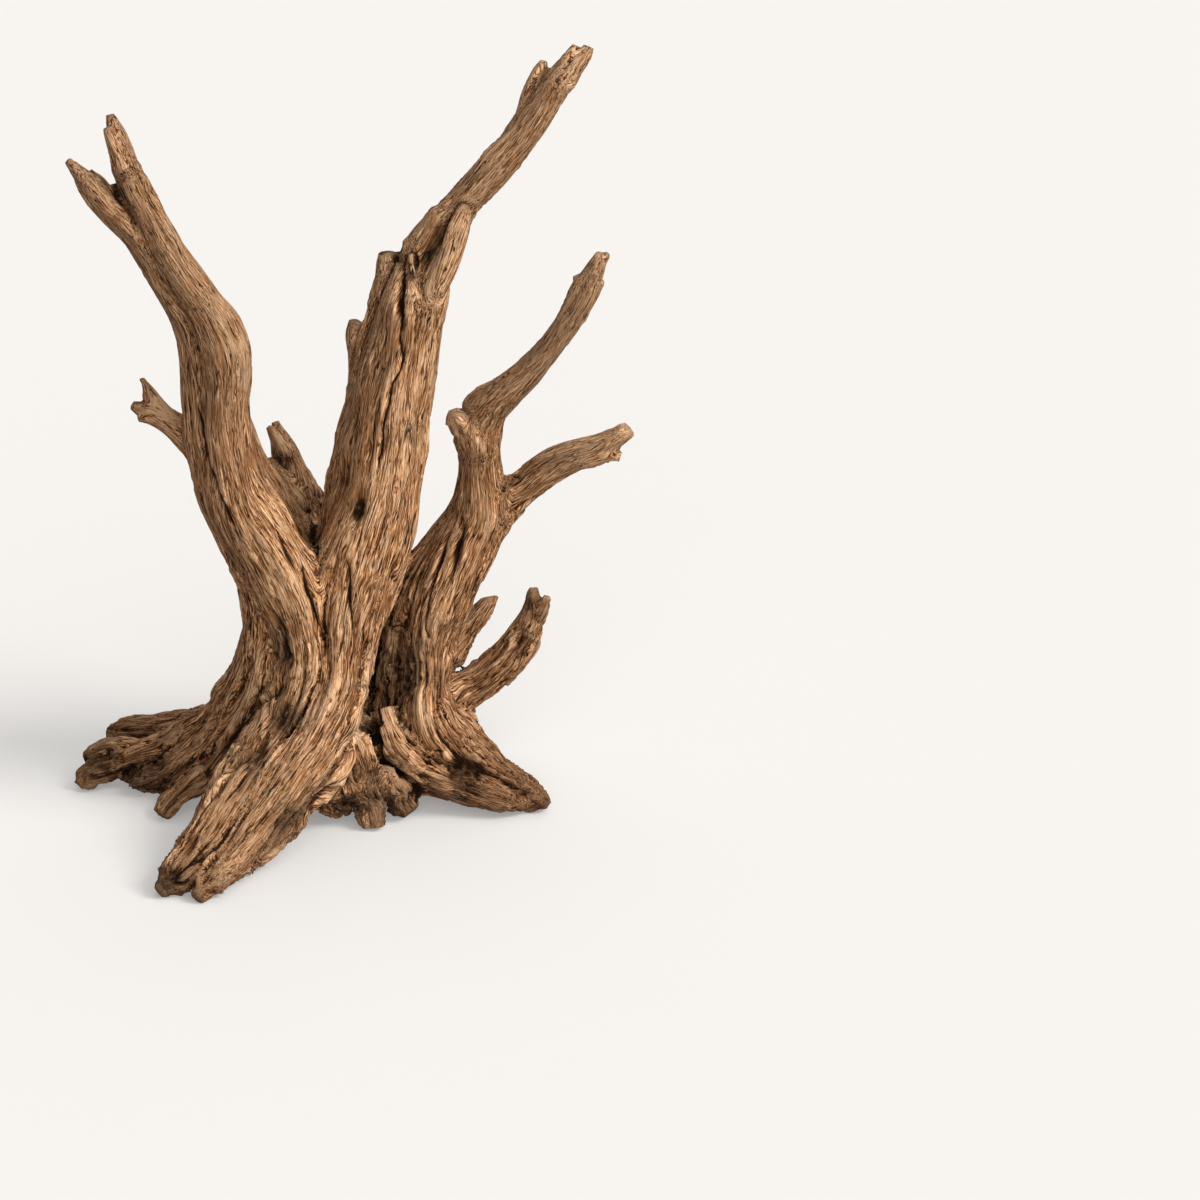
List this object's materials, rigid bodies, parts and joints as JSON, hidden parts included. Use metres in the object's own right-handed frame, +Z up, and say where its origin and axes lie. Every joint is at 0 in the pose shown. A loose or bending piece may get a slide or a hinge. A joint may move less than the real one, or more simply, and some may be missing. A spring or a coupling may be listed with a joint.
{
  "type": "piece of driftwood",
  "caption": "Upright weathered driftwood root crown: spreading roots carry a twisted trunk that forks into bare broken limbs, made to stand as a display or aquarium ornament.",
  "frame": {"origin": "on the floor under the middle of the whole piece's box", "axes": "+Z up, +X to the right and -Y towards the viewer of the side with the long front root; the front root points to -X -Y"},
  "size_m": [0.2753, 0.2112, 0.3677],
  "materials": {
    "weathered_wood": "bare dry weathered wood with raised grain, tan-brown with darker furrows and grey patches"
  },
  "bodies": {
    "root": {"driftwood": "weathered_wood"}
  },
  "joints": []
}
